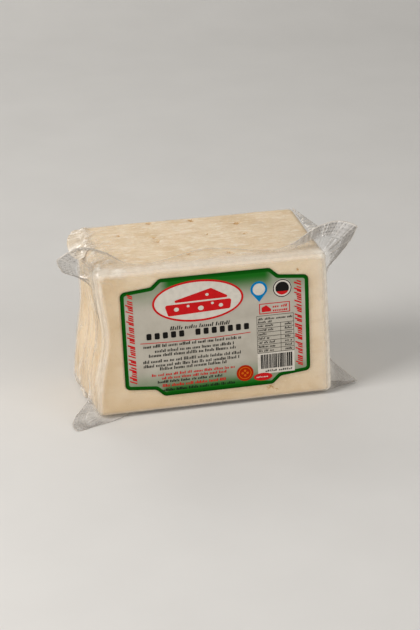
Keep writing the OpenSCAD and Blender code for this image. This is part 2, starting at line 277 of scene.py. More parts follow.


# %% [markdown]
# ## Cheese finish
#
# Brined white cheese is cream rather than white: pale fat with slightly darker, wetter
# patches a centimetre or two across, fine drawn streaks from the knife and a few tan pits
# where whey sat. One flat colour would read as soap. The colour is layered noise of three
# sizes and a streak noise stretched along the block. Masks kept on the mesh say where it is
# tan, so that the tan sits exactly in the dents, where a painted highlight makes it paler
# at the edges, and where painted shade makes the low front deeper; the same mask also
# makes the front deeper in its upper left corner.
# A little subsurface light softens it, as fat does.

# %% A finish is a material and the nodes that make it
class Finish:
    """A node material. Where a method takes a value or a colour, a socket may stand for it."""

    def __init__(self, name):
        self.material = bpy.data.materials.new(name)
        self.material.use_nodes = True
        self.tree = self.material.node_tree
        self.tree.nodes.clear()
        out = self.tree.nodes.new("ShaderNodeOutputMaterial")
        self.shader = self.tree.nodes.new("ShaderNodeBsdfPrincipled")
        self.tree.links.new(self.shader.outputs["BSDF"], out.inputs["Surface"])

    def feed(self, node, inputs):
        """Links the sockets and sets the plain values among a node's inputs."""
        for key, value in inputs.items():
            if isinstance(value, bpy.types.NodeSocket):
                self.tree.links.new(value, node.inputs[key])
            else:
                node.inputs[key].default_value = value
        return node

    def put(self, kind, inputs, **settings):
        node = self.tree.nodes.new(kind)
        for key, value in settings.items():
            setattr(node, key, value)
        return self.feed(node, inputs)

    def place(self, stretch=(1, 1, 1)):
        """Object coordinates in millimetres, squeezed per axis."""
        at = self.put("ShaderNodeTexCoord", {}).outputs["Object"]
        scale = tuple(s / MM for s in stretch)
        return self.put("ShaderNodeMapping", {"Vector": at, "Scale": scale}).outputs[0]

    def along(self, axis):
        return self.put("ShaderNodeSeparateXYZ", {"Vector": self.place()}).outputs[axis]

    def grain(self, size, detail=3, rough=0.5, wander=0.0, stretch=(1, 1, 1)):
        """Noise with lumps of about size mm."""
        return self.put("ShaderNodeTexNoise", {
            "Vector": self.place(stretch), "Scale": 1 / size, "Detail": detail,
            "Roughness": rough, "Distortion": wander,
        }).outputs["Fac"]

    def ramp(self, value, low, high, to_low=0.0, to_high=1.0, kind="SMOOTHSTEP"):
        return self.put("ShaderNodeMapRange", {
            "Value": value, "From Min": low, "From Max": high, "To Min": to_low, "To Max": to_high,
        }, interpolation_type=kind).outputs["Result"]

    def maths(self, operation, a, b=0.0):
        return self.put("ShaderNodeMath", {0: a, 1: b}, operation=operation).outputs[0]

    def times(self, a, b):
        return self.maths("MULTIPLY", a, b)

    def mask(self, name):
        return self.put("ShaderNodeAttribute", {}, attribute_name=name).outputs["Fac"]

    def bump(self, height, strength, deep):
        """A relief of deep mm."""
        return self.put("ShaderNodeBump", {
            "Height": height, "Strength": strength, "Distance": deep * MM}).outputs["Normal"]

    def layers(self, colour, *rows):
        """Lays colours over the first one. Each row is how much of it shows, and the colour."""
        for share, over in rows:
            pair = [c if isinstance(c, bpy.types.NodeSocket) else (*c, 1) for c in (colour, over)]
            mix = self.put("ShaderNodeMix", {0: share, 6: pair[0], 7: pair[1]}, data_type="RGBA")
            colour = mix.outputs[2]
        return colour


# %% Cream, mottled, streaked cheese
CREAM, CREAM_DEEP, CREAM_PALE = (0.80, 0.65, 0.455), (0.64, 0.455, 0.245), (0.92, 0.83, 0.70)
PIT_TAN = (0.52, 0.27, 0.07)

cream = Finish("cheese_cream")
patches, broad = cream.grain(15, 4), cream.grain(5.5, stretch=(0.4, 1, 0.7))
crumbs = cream.grain(1.5, 4, 0.65)
streaks = cream.grain(1.9, 4, 0.6, 1.3, (0.27, 1, 0.8))
drawn = cream.mask("drawn")
flecks = cream.ramp(cream.grain(0.8, 2), 0.3, 0.7, -0.35, 0.35)
flecks = cream.maths("ADD", cream.mask("pit"), flecks)
cream.feed(cream.shader, {
    "Base Color": cream.layers(
        CREAM,
        (cream.times(cream.ramp(patches, 0.44, 0.68), 0.46), CREAM_DEEP),
        (cream.ramp(broad, 0.50, 0.72, 0, 0.40), CREAM_DEEP),
        (cream.times(cream.ramp(streaks, 0.50, 0.68, 0, 0.52), drawn), CREAM_DEEP),
        (cream.times(cream.ramp(streaks, 0.48, 0.33, 0, 0.70), drawn), CREAM_PALE),
        (cream.ramp(crumbs, 0.56, 0.74, 0, 0.55), CREAM_PALE),
        # painted shade low on the front, and a deeper upper left corner of the front
        (cream.mask("shade_and_deeper_tone"), CREAM_DEEP),
        # painted highlight: paler along the edges and a strip at the right of the front
        (cream.times(cream.mask("edge"), 0.7), CREAM_PALE),
        (cream.ramp(flecks, 0.40, 0.70, 0, 0.95), PIT_TAN),
    ),
    "Roughness": cream.ramp(crumbs, 0.3, 0.7, 0.42, 0.62),
    "Subsurface Weight": 0.18,
    "Subsurface Radius": (1.0, 0.72, 0.45),
    "Subsurface Scale": 0.0025,
    "Normal": cream.bump(cream.maths("ADD", crumbs, cream.times(streaks, drawn)), 0.5, 0.5),
})
print("cheese finish:", len(cream.tree.nodes), "nodes")

# %% [markdown]
# ## The cheese
#
# The block itself lies half a millimetre inside the film. Its faces are not flat: broad
# lumps of a third of a millimetre, knife streaks along the top, and pits. The pits are real
# dents with the tan colour in them, because a dent catches a little shadow of its own.

# %% Pits, each [x, y, z, radius, depth] in the block frame
PITS = [
    (-24.0, 27.5, 97, 1.5, 0.7), (2.0, 26.5, 97, 1.9, 0.9), (-25.1, 8.3, 96, 1.2, 0.5),
    (-24.4, 3.1, 96, 1.6, 0.7), (-10.1, -16.3, 94, 1.3, 0.6), (27.8, 17.2, 96, 1.7, 0.8),
    (29.0, 2.9, 96, 1.5, 0.7), (6.6, 6.3, 96, 1.2, 0.5), (12.8, -19.9, 94, 1.7, 0.7),
    (14.8, -22.0, 94, 1.2, 0.5), (39.0, -25.4, 94, 1.4, 0.6), (-45.0, 15.0, 96, 1.3, 0.5),
    (51.3, -32.5, 83.2, 1.3, 0.5), (35.6, -32.5, 9.2, 1.7, 0.9), (39.7, -32.5, 7.1, 1.3, 0.7),
    (-40.0, 32.5, 60.0, 1.6, 0.8), (12.0, 32.5, 34.0, 1.5, 0.7), (38.0, 32.5, 72.0, 1.8, 0.8),
    (69.0, 4.0, 40.0, 1.6, 0.7), (-52.0, 32.5, 22.0, 1.3, 0.6),
]
TOP_PITS_FROM = 90
print("pits:", len(PITS))

# %% Shape of the cheese: lumps, rucks and dents
CHEESE_STEP, CHEESE_INSET, CHEESE_LOW = (0.85, 0.82, 0.85), 0.55, 0.3


def facing(way, axis, sign):
    """How squarely each point looks along one axis, from 0 to 1."""
    return np.maximum(sign * way[:, axis], 0)


def cheese_points():
    p, way, faces = rounded_box(CHEESE_STEP, CHEESE_INSET)
    lumps = 0.30 * noise(p, 24, 1) + 0.10 * noise(p, 6, 2) + 0.07 * noise(p, (14, 1.9, 1.9), 3)
    lumps = lumps * (1 - 0.8 * facing(way, 1, -1))
    soft = soften(p + way * lumps[:, None] + rucks(p) * 0.75)
    dents, pit = np.zeros(len(p)), np.zeros(len(p))
    for x, y, z, radius, depth in PITS:
        squeeze = (0.75, 1, 0.5 if z > TOP_PITS_FROM else 1)
        far = np.linalg.norm((soft - [x, y, z]) * squeeze, axis=-1)
        dents += depth * bell(far / radius)
        pit = np.maximum(pit, 0.9 * bell(far / (radius * 0.95)))
    return above_floor(soft - way * dents[:, None], CHEESE_LOW), way, faces, pit


# %% Where the cheese is paler, deeper or streaked
points, way, faces, pit = cheese_points()
front, share_up = facing(way, 1, -1), points[:, 2] / BODY_H
# Painted highlight: the edges are made paler, and so is a strip of the front along its right edge
edge = ease((1 - np.max(np.abs(way), axis=-1)) / 0.22) * front ** 0.3
from_right = HALF_W + FOOT_SPREAD * (1 - share_up) - points[:, 0]
edge = np.maximum(edge, (0.55 + 0.45 * share_up) * bell(from_right / 8) * front)
# The knife's streaks show most on the top, and a little on the back
drawn = np.clip(np.abs(way[:, 2]) + 0.45 * facing(way, 1, 1) + 0.12, 0, 1)
# Painted shade makes the front deeper low down; the front is also made deeper in its upper left
# corner
low_front_shade = 0.95 * ease((24 - points[:, 2]) / 24) * (1 - 0.4 * ease((points[:, 0] + 20) / 70))
left_front = 0.55 * ease((-48 - points[:, 0]) / 12)
shade_and_deeper_tone = np.maximum(low_front_shade, left_front) * front * (0.75 + 0.35 * noise(points, 9, 8))
cheese = make_piece(
    "cheese", to_metres(points), faces, cream,
    masks={"pit": pit, "edge": edge, "drawn": drawn, "shade_and_deeper_tone": np.clip(shade_and_deeper_tone, 0, 1)},
)

# %% [markdown]
# ## Film finish
#
# Clear packing film shows in three ways: a thin haze, sharp lamp glints along its rucks,
# and a milkier look where it is folded or welded. Real glass shading would darken what
# lies below, and it would need caustics to light the cheese. A thin film is better made as
# a see-through surface whose solid share follows a haze mask on the mesh, with a mirror
# that keeps the glints bright where the film is nearly invisible. The loose film is grey,
# and the dots pressed into the weld are darker than the film. Its creases and cut edges are
# painted white: painted highlights over the milkier look of folded film. The
# skin has a weaker mirror, so that the cheese keeps its colour under it.

# %% One recipe for every film
# The white is a painted highlight for the film's creases and cut edges
CREASE_HIGHLIGHT_WHITE, DOT_DARK = (0.92, 0.85, 0.74), 0.22


def film_finish(name, tint, clear, milky, rough, relief=0.3, index=1.9, mirror=0.9):
    """clear and milky are how solid the film looks where the haze mask is 0 and 1."""
    film = Finish(name)
    cloud = film.grain(5)
    share = film.ramp(film.mask("haze"), 0, 1, clear, milky, "LINEAR")
    film.feed(film.shader, {
        "Alpha": film.times(share, film.ramp(cloud, 0.3, 0.7, 0.85, 1.15)),
        "Base Color": film.layers(
            tint,
            # painted highlight: white along creases and cut edges
            (film.mask("crease_and_highlight"), CREASE_HIGHLIGHT_WHITE),
            (film.mask("dot"), tuple(c * DOT_DARK for c in tint)),
        ),
        "Roughness": film.ramp(cloud, 0.3, 0.7, rough, rough * 1.6),
        "IOR": index,
        "Specular IOR Level": mirror,
        "Normal": film.bump(film.grain(1.6, 2, stretch=(1, 1, 0.4)), relief, 0.4),
    })
    return film


skin_film = film_finish("skin_film", (0.82, 0.72, 0.59), 0.05, 0.80, 0.16, index=1.5, mirror=0.6)
rim_film = film_finish("rim_film", (0.36, 0.33, 0.29), 0.012, 0.82, 0.14)
weld_film = film_finish("weld_film", (0.36, 0.325, 0.285), 0.012, 0.88, 0.26, 0.15)
fold_film = film_finish("fold_film", (0.74, 0.62, 0.46), 0.02, 0.97, 0.26)
print("film finishes ready")

# %% [markdown]
# ## The skin
#
# The skin is the film that clings to the cheese. It is a closed bag a hair outside the
# block. Over the flat faces it shows almost nothing. At the edges it bridges the rounding
# and turns milky, and at the left end and the upper corners it stands off in sharp little
# puckers. Along the front's top and right edges, along its folds and in its puckers it is
# also painted white as a painted highlight. The puckers are ridge noise: one minus the
# size of a smooth noise gives crests that are sharp on top and round between, as gathered
# film is.

# %% Puckers and milky places of the skin
def ridge(p, size, seed):
    return 1 - np.abs(noise(p, size, seed)) * 2.2


def folds(p, size, seed, sharp):
    """Ridges that get thinner the higher sharp is."""
    return np.maximum(ridge(p, size, seed), 0) ** sharp


SKIN_STEP, SKIN_OFF, SKIN_LOW = (0.95, 0.9, 0.9), 0.12, 0.05
FAN_TURN = np.array([[0.80, -0.60, 0], [0.60, 0.80, 0], [0, 0, 1]])


def skin_relief(p, way):
    """Height of the skin's puckers in mm, how milky it is, and where it is painted white as a
    highlight along its creases and edges.
    """
    left, right, top = facing(way, 0, -1), facing(way, 0, 1), facing(way, 2, 1)
    front = facing(way, 1, -1)
    from_left, from_front = np.maximum(p[:, 0] + HALF_W, 0), np.maximum(p[:, 1] + HALF_D, 0)
    upper_left = bell(from_left / 13) * bell((BODY_H - p[:, 2]) / 18)
    lower_left = bell(from_left / 9) * bell(p[:, 2] / 20) * ease(from_front / 25)
    ends = 0.60 * left + 0.40 * right
    long_folds = folds(p, (9, 3.6, 34), 5, 2)
    thin_folds = folds(p, (6, 1.8, 22), 7, 3)
    small_folds = folds(p, (4.5, 2.4, 7), 6, 3)
    high_left = upper_left * small_folds
    low_left = lower_left * folds(p, (9, 5.5, 17), 8, 2)
    fan = folds(p @ FAN_TURN, (11, 2.0, 9), 9, 3) * top * bell(from_left / 15)
    height = ends * (0.9 * long_folds + 0.35 * thin_folds + 0.2 * small_folds)
    height += 0.5 * high_left + 1.3 * low_left + 0.5 * fan
    edges = ease((1 - np.max(np.abs(way), axis=-1)) / 0.2)
    # Painted highlight along the front's top edge, the left end's front edge and the front's right
    # edge, partly film bridging the rounding
    band = top * bell(from_front / 7) + 0.40 * left * bell(from_front / 4)
    right_band = bell((HALF_W - p[:, 0]) / 6) * front ** 0.5 + 0.8 * right * bell(from_front / 4)
    milky = 0.10 * left + np.maximum(0.45 * edges * front ** 0.3, band) + 0.45 * right_band
    milky += ends * (0.35 * long_folds + 0.55 * thin_folds)
    milky += 0.4 * high_left + 0.7 * low_left + 0.75 * fan
    # Where the skin is painted white as a highlight: its folds, puckers and edge bands
    crease_and_highlight = ends * thin_folds + high_left + low_left + fan + band + right_band
    return SKIN_OFF + height * (1 - 0.85 * front), np.clip(milky, 0, 1), np.clip(crease_and_highlight, 0, 1)


p, way, faces = rounded_box(SKIN_STEP, SKIN_OFF)
height, milky, crease_and_highlight = skin_relief(p, way)
skin_at = above_floor(soften(p + way * height[:, None] + rucks(p)), SKIN_LOW)
make_piece(
    "film_skin", to_metres(skin_at), faces, skin_film,
    replaces=("sealed_block",), masks={"haze": milky, "crease_and_highlight": crease_and_highlight},
)
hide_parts("sealed_block")

# %% [markdown]
# ## The rim
#
# The two films are welded round the front face, and the weld leaves a rim of film nineteen
# millimetres wide. Folded back, it is too long at each corner, so it stands there as an
# ear. A simulation could find such ears, but not these four. Instead the rim is steered:
# control rays run from the front edge to the free edge, and a smooth curve through
# them gives every ray between. The rows are the same as the solid part's. Corners count
# from the upper left, against the clock: 0, 1, 2 and 3.

# %% Control rays of the rim: corner, root past it, free edge out, back and up, in rim widths
RIM_RAYS = [
    (0, -3.60, -3.60, 0.98, 0.00), (0, -2.90, -2.95, 0.80, 0.00), (0, -2.20, -2.35, 0.55, 0.00),
    (0, -1.50, -1.65, 0.35, 0.01), (0, -1.00, -1.05, 0.42, 0.06), (0, -0.60, -0.50, 0.56, 0.36),
    (0, -0.30, 0.05, 0.63, 0.57), (0, -0.12, 0.45, 0.65, 0.58), (0, 0.00, 0.85, 0.67, 0.38),
    (0, 0.06, 1.03, 0.71, 0.18), (0, 0.20, 0.84, 0.74, -0.20), (0, 0.45, 0.44, 0.78, -0.42),
    (0, 0.90, 0.04, 0.92, -0.80), (0, 1.50, 0.02, 0.98, -1.50), (1, -2.00, 0.02, 0.98, 2.00),
    (1, -1.45, 0.06, 0.85, 1.50), (1, -1.00, 0.14, 0.50, 1.10), (1, -0.62, 0.27, 0.20, 0.68),
    (1, -0.36, 0.50, 0.08, 0.44), (1, -0.16, 0.70, 0.08, 0.17), (1, -0.05, 0.80, -0.06, 0.02),
    (1, 0.03, 0.80, -0.34, 0.00), (1, 0.12, 0.70, -0.51, 0.00), (1, 0.30, 0.42, -0.44, 0.00),
    (1, 0.60, 0.03, -0.28, 0.00), (1, 0.95, -0.42, -0.13, 0.00), (1, 1.30, -0.80, 0.10, 0.00),
    (1, 1.80, -1.50, 0.60, 0.00), (1, 2.50, -2.40, 0.98, 0.00), (2, -1.50, -1.50, 0.98, 0.00),
    (2, -0.95, -0.70, 0.97, 0.00), (2, -0.55, -0.08, 0.93, 0.00), (2, -0.28, 0.42, 0.84, 0.00),
    (2, -0.10, 0.78, 0.68, 0.02), (2, 0.00, 0.94, 0.56, 0.08), (2, 0.12, 0.70, 0.56, 0.34),
    (2, 0.40, 0.40, 0.57, 0.64), (2, 0.80, 0.14, 0.62, 0.90), (2, 1.40, 0.02, 0.96, 1.40),
    (3, -1.90, 0.02, 0.98, -1.90), (3, -1.30, 0.06, 0.85, -1.25), (3, -0.80, 0.26, 0.66, -0.74),
    (3, -0.45, 0.52, 0.64, -0.52), (3, -0.20, 0.88, 0.60, -0.08), (3, -0.06, 1.08, 0.57, 0.30),
    (3, 0.00, 1.12, 0.55, 0.46), (3, 0.10, 0.80, 0.57, 0.63), (3, 0.25, 0.40, 0.56, 0.71),
    (3, 0.45, -0.04, 0.55, 0.62), (3, 0.75, -0.44, 0.53, 0.44), (3, 1.10, -0.94, 0.50, 0.14),
    (3, 1.60, -1.50, 0.45, 0.01), (3, 2.20, -2.20, 0.58, 0.00), (3, 2.90, -2.85, 0.84, 0.00),
]

# %% The two ends of a ray
CORNER_SIDE = ((-1, 1), (-1, -1), (1, -1), (1, 1))
UPPER_LEFT, UPPER_RIGHT = 0, 3
ROOT_BIAS = 1.5


def seat(p):
    return p + box_way(p) * (FILM_OFF - box_gap(p))[..., None]


def keep_clear(p):
    return p + box_way(p) * np.maximum(FILM_OFF - box_gap(p), 0)[..., None]


def ray_ends(row):
    """Root on the front edge and free end of one control ray, in the true box's frame."""
    corner, s, out, back, up = row
    side = CORNER_SIDE[corner]
    top = side[1] > 0
    across = (corner % 2 == 0) == (s < 0)
    s = abs(s) * RIM_W
    root = np.array([side[0] * (HALF_W - (s if across else 0)), -HALF_D,
                     (BODY_H if top else 0) - side[1] * (0 if across else s)])
    lift = up * RIM_W
    free = np.array([
        side[0] * (HALF_W + out * RIM_W + (FILM_OFF if out > 0 else 0)), -HALF_D + back * RIM_W,
        BODY_H + lift + FILM_OFF if top else lift + FILM_LOW - BASE_STEP,
    ])
    return seat(root), keep_clear(free)


# %% A smooth curve through the rays
def smooth_curve(rows, t, closed):
    """Points on the smooth curve through the rows, at the positions t counted in rows."""
    n = len(rows)
    i = np.minimum(np.floor(t).astype(int), n - 1 if closed else n - 2)
    f = (t - i)[:, None]
    near = [(i + k) % n if closed else np.clip(i + k, 0, n - 1) for k in (-1, 0, 1, 2)]
    a, b, c, d = (rows[k] for k in near)
    bend, twist = 2 * a - 5 * b + 4 * c - d, 3 * b - a - 3 * c + d
    return 0.5 * (2 * b + (c - a) * f + bend * f * f + twist * f ** 3)


CURVE_PARTS = 40


def even_steps(rows, count, closed):
    """Positions along the curve through the rows that space its points evenly."""
    spans = len(rows) if closed else len(rows) - 1
    t = np.linspace(0, spans, spans * CURVE_PARTS + 1)
    q = smooth_curve(rows, t, closed)
    reach = np.concatenate([[0], np.cumsum(np.linalg.norm(np.diff(q, axis=0), axis=-1))])
    return np.interp(np.linspace(0, reach[-1], count + closed)[:count], reach, t), reach[-1]


ray_table = np.array([np.concatenate(ray_ends(row)) for row in RIM_RAYS])
RIM_COLUMNS = 1440
rim_t, rim_length = even_steps(ray_table, RIM_COLUMNS, True)
rim_roots, rim_free = np.split(smooth_curve(ray_table, rim_t, True), 2, axis=1)
rim_reach = np.linspace(0, rim_length, RIM_COLUMNS, endpoint=False)
print(f"rim: {len(RIM_RAYS)} control rays, {rim_length:.0f} mm along")


# %% [markdown]
# ## Pleats and the embossed weld
#
# The clear half of the rim pleats where it turns a corner, in creases that run out from the
# corner like the ribs of a fan. The outer half was pressed between heated jaws, which left
# rows of small square dimples. Both are moves along the film's own normal. The pleats only
# act where the film stands free, so the film that lies on the cheese is not pushed into it.

# %% Sizes of the pleats and the dots, in mm, and places across the rim as shares
WELD_FROM, NARROW_FROM, EDGE_FROM = 0.5, 0.82, 0.955
DIMPLE, DIMPLE_DEEP, PLEAT_PITCH, PLEAT_HIGH = 2.2, 0.24, 5.2, 1.5
FILM_WALL, WELD_WALL = 0.12, 0.18


def column_normals(grid, closed):
    along = np.roll(grid, -1, 0) - np.roll(grid, 1, 0) if closed else np.gradient(grid, axis=0)
    out = np.gradient(grid, axis=1)
    n = np.cross(along, out)
    return n / np.maximum(np.linalg.norm(n, axis=-1, keepdims=True), 1e-6)


def round_gap(at):
    """Way round the rim from each column to one place, in mm, the shorter way."""
    return np.abs((rim_reach[:, None] - at + rim_length / 2) % rim_length - rim_length / 2)


# %% Pleats
def pleat_field(share):
    """Creases that cross the rim from root to free edge, as a height from about -1 to 1."""
    draws = np.random.RandomState(5)
    total = np.zeros((RIM_COLUMNS, len(share)))
    crest = np.zeros_like(total)
    for middle in np.arange(3, rim_length, PLEAT_PITCH):
        at = middle + draws.uniform(-1.8, 1.8)
        height, half = draws.uniform(-1, 1), draws.uniform(1.1, 2.6)
        slant = draws.uniform(-3, 3)
        gap = round_gap(at + slant * (share - 0.5))
        tent = np.maximum(1 - gap / (half * (0.45 + 0.8 * share)), 0)
        total += height * tent
        crest += abs(height) * np.maximum(1 - gap / 0.5, 0)
    return total, np.clip(crest, 0, 1)


# %% Where the film is hazy enough to see
# An ear's haze ends so many rim widths from its corner, and fades over the second number.
# The first row of each corner is for the rays before it, the second for the rays after it.
EAR_ENDS = {(0, -1): (1.25, 0.9), (0, 1): (1.00, 0.6), (1, -1): (1.20, 0.7), (1, 1): (1.80, 1.0),
            (2, -1): (1.40, 0.9), (2, 1): (1.20, 0.6), (3, -1): (1.30, 0.7), (3, 1): (1.90, 1.1)}
EAR_HAZE = (0.68, 0.55, 0.62, 1.0)


def ear_share(corner, past):
    end, fade = EAR_ENDS[corner, 1 if past > 0 else -1]
    return EAR_HAZE[corner] * ease((end - abs(past)) / fade)


def along_rim(values):
    """Values given per control ray, read off at every column of the rim."""
    return np.interp(rim_t, np.arange(len(values) + 1), np.append(values, values[0]))


in_ear = along_rim([ear_share(*row[:2]) for row in RIM_RAYS])
# Over the upper left corner only a narrow outer band of the weld is seen
band_from = along_rim([
    NARROW_FROM if corner == UPPER_LEFT and past < 0 else WELD_FROM for corner, past, *_ in RIM_RAYS])
# Where the rim runs over the top of the cheese its clear half hardly shows
over_top = along_rim([
    float((corner == UPPER_LEFT and past < -0.2) or (corner == UPPER_RIGHT and past > 0.2))
    for corner, past, *_ in RIM_RAYS])
print(f"rim hazy along {np.mean(in_ear > 0.05):.0%} of its length")

# %% Sharp creases in the ears, painted white as highlights
# Each is [control ray, half width at the free edge, strength]
BRIGHT_CREASES = [
    (6.6, 1.0, 0.9), (7.5, 1.6, 1.0), (8.4, 0.8, 0.8), (9.6, 0.9, 0.7), (10.7, 0.8, 0.6),
    (17.5, 0.7, 0.8), (18.6, 0.9, 0.9), (19.7, 0.6, 0.8), (21.2, 0.8, 0.9), (22.4, 0.6, 0.6),
    (24.3, 0.8, 0.5),
    (31.3, 0.6, 0.7), (33.0, 0.7, 0.9), (34.6, 0.7, 0.8), (36.0, 0.6, 0.6),
    (42.0, 0.9, 0.7), (43.3, 0.8, 0.9), (44.4, 0.9, 1.0), (46.2, 0.8, 0.8), (47.6, 1.1, 1.0),
    (48.7, 0.7, 0.8), (49.6, 0.8, 0.7), (50.6, 0.6, 0.5),
]


def bright_creases(share):
    reach_of = np.interp([ray for ray, _, _ in BRIGHT_CREASES], rim_t, rim_reach)
    total = np.zeros((RIM_COLUMNS, len(share)))
    for at, (_, half, strength) in zip(reach_of, BRIGHT_CREASES):
        tent = np.maximum(1 - round_gap(at) / (half * (0.4 + 0.8 * share)), 0)
        total = np.maximum(total, strength * tent)
    return total


# %% The rim as a grid of points
def rim_grid(share):
    """Grid of rim points in mm in the block's soft shape, with its crests painted white as highlights
    and its dot mask.
    """
    width = share ** ROOT_BIAS
    flat = keep_clear(rim_roots[:, None] + (rim_free - rim_roots)[:, None] * width[None, :, None])
    free = ease((box_gap(flat) - 0.8) / 4.0)
    soft = above_floor(soften(flat + rucks(flat)), FILM_LOW)
    normal = column_normals(soft, True)
    pleats, crest = pleat_field(share)
    bright = bright_creases(share)
    pleats, crest = pleats + 0.5 * bright, np.maximum(0.5 * crest, bright)
    inner = ease(width / 0.25) * (1 - 0.75 * ease((width - 0.42) / 0.2))
    push = free * inner * PLEAT_HIGH * pleats
    weld = ease((width - WELD_FROM) / 0.02) * (1 - ease((width - 0.985) / 0.01))
    across = (width - width[-1]) * RIM_W + 1.6
    waves = [np.maximum(np.cos(2 * np.pi * a / DIMPLE), 0) for a in (rim_reach, across)]
    checks = ease(1.7 * waves[0][:, None] * waves[1])
    patch = 0.5 + 0.5 * noise(rim_reach[:, None] * [1, 0, 0], 9, 4)
    push = push + weld * DIMPLE_DEEP * checks * (0.4 + 0.6 * patch)[:, None]
    made = above_floor(soft + normal * push[..., None], FILM_LOW - 0.1)
    return made, free, crest, checks, width


# %% From a grid to a sheet of film
def grid_faces(rows, columns, closed):
    i, k = np.meshgrid(
        np.arange(rows if closed else rows - 1), np.arange(columns - 1), indexing="ij")
    here, after = i * columns + k, (i + 1) % rows * columns + k
    return np.stack([here, here + 1, after + 1, after], -1).reshape(-1, 4)


def film_piece(name, grid, closed, thickness, finish, replaces, haze, crease_and_highlight, dot=None):
    masks = {"haze": haze, "crease_and_highlight": crease_and_highlight} | ({} if dot is None else {"dot": dot})
    piece = make_piece(
        name, to_metres(grid.reshape(-1, 3)), grid_faces(*grid.shape[:2], closed), finish,
        replaces=replaces, masks=masks,
    )
    wall = piece.modifiers.new("wall", "SOLIDIFY")
    wall.thickness, wall.offset = thickness * MM, 0


def width_shares(low, high, steps):
    return np.linspace(low, high, steps) ** (1 / ROOT_BIAS)


# %% The clear half
grid, free, crest, _, width = rim_grid(width_shares(0.0, WELD_FROM, 16))
seal_line = (1 - ease(width / 0.24)) * (1 - free)
show = in_ear[:, None] * (0.25 + 0.75 * free)
haze = show * (0.38 + 0.6 * crest) * (1 - 0.7 * over_top)[:, None]
film_piece(
    "rim_clear", grid, True, FILM_WALL, rim_film, ("seal_rim",),
    np.clip(haze + 0.10 * seal_line, 0, 1),
    # painted highlight: white along the creases, and paler film where it lies on the cheese
    np.clip(np.maximum(crest * show, 0.75 * (1 - free)), 0, 1),
)

# %% The weld, with a painted highlight along its free edge
grid, free, crest, checks, width = rim_grid(width_shares(WELD_FROM, 1.0, 27))
last_edge = ease((width - EDGE_FROM) / 0.02)
in_band = ease((width - band_from[:, None]) / 0.12)
show = in_ear[:, None] * (0.45 + 0.55 * free) * (0.25 + 0.75 * in_band)
haze = show * (0.58 + 0.40 * checks + 0.2 * last_edge) + 0.42 * last_edge
# Painted highlight along the creases and the free edge, and paler film where it lies on the cheese
white = np.maximum(0.55 * crest, 0.62 * last_edge) * show + 0.6 * (1 - free)
film_piece(
    "rim_weld", grid, True, WELD_WALL, weld_film, ("seal_rim",),
    np.clip(haze, 0, 1), np.clip(white, 0, 1), checks * show * in_band * (1 - last_edge),
)

# %% [markdown]
# ## Folds over the ends
#
# Along the top edge of each end the skin was gathered into a small loose fold, with air
# under it. Each could be pulled out of the skin's own mesh, but a sheet of its own can
# stand off more freely. It is steered like the rim, by a few rays. The left one is milky
# and starts a little way in over the cheese, where its haze fades in, so that it has no
# hard line there.

# %% Fold sheets: rows are distance from the back, reach and drop, as shares
RIGHT_FOLD = [(0.03, 0.10, 0.00), (0.16, 0.35, -0.05), (0.29, 0.60, -0.10),
              (0.42, 0.85, -0.15), (0.53, 0.95, -0.18), (0.62, 0.80, -0.12)]
LEFT_FOLD = [(0.03, 0.25, 0.00), (0.09, 0.60, 0.05), (0.16, 0.90, 0.20),
             (0.25, 1.00, 0.50), (0.36, 0.85, 0.75), (0.48, 0.45, 0.60)]
FOLD_COLUMNS, FOLD_PARTS, FOLD_PUCKER = 110, 16, 0.9


def fold_sheet(name, rows, reach, side, node, finish, haze_base, over=0.0):
    """A loose sheet of film at one end. over is how many mm it starts in over the cheese."""
    rows = np.array(rows)
    t, _ = even_steps(rows * [2 * HALF_D, reach, reach], FOLD_COLUMNS, False)
    back, out, drop = smooth_curve(rows, t, False).T
    level = back * 0
    edge = seat(np.stack([
        level + side * HALF_W, HALF_D - back * 2 * HALF_D, level + BODY_H], -1))
    away = edge + np.stack([side * reach * out, level, -reach * drop], -1)
    root = seat(edge - [side * over, 0, 0])
    share = np.linspace(0, 1, FOLD_PARTS)
    flat = keep_clear(root[:, None] + (away - root)[:, None] * share[None, :, None])
    soft = soften(flat + rucks(flat))
    spot = np.stack(np.broadcast_arrays(
        np.linspace(0, 34, FOLD_COLUMNS)[:, None], share[None, :] * 2.2, side * 3.0), -1)
    tents = np.clip(ridge(spot, (2.2, 3.0, 1.0), 4), -1, 1)
    lift = ease(share / 0.3) * (1 - 0.8 * ease((share - 0.7) / 0.3)) * FOLD_PUCKER * tents
    soft = soft + column_normals(soft, False) * lift[..., None]
    # The crests of the puckers are painted white as highlights
    crease_and_highlight = np.clip(tents, 0, 1) ** 2
    haze = np.clip(haze_base + 0.4 * crease_and_highlight + 0.4 * ease((share - 0.9) / 0.1), 0, 1)
    if over:
        haze = haze * ease(share / (1.3 * over / (over + reach)))
    film_piece(name, soft, False, FILM_WALL, finish, (node,), haze, crease_and_highlight)


fold_sheet("fold_right", RIGHT_FOLD, 7.0, 1, "right_fold", rim_film, 0.35)
fold_sheet("fold_left", LEFT_FOLD, 9.0, -1, "left_fold", fold_film, 0.80, 6.0)

# %% [markdown]
# ## The label
#
# The label is printed in a few flat colours. A picture could be wrapped on it, but then the
# print would be only as sharp as the picture. Each ink is its own thin layer of mesh here,
# lifted a few hundredths of a millimetre over the one below, so edges stay crisp however
# close one looks. Where a real label has words, this one has plain ticks and blocks.

# %% Label frame: a is along the label, b is up it, both from its middle, in millimetres
LABEL_FACE = -HALF_D - SKIN_OFF


def on_label(a, b, lift):
    a, b, lift = np.broadcast_arrays(a, b, lift)
    return np.stack([a - LABEL_LEAN * b + LABEL_X, LABEL_FACE - lift, b + LABEL_Z], -1)


# %% Outline of the label
def unit(v):
    return v / np.linalg.norm(v)


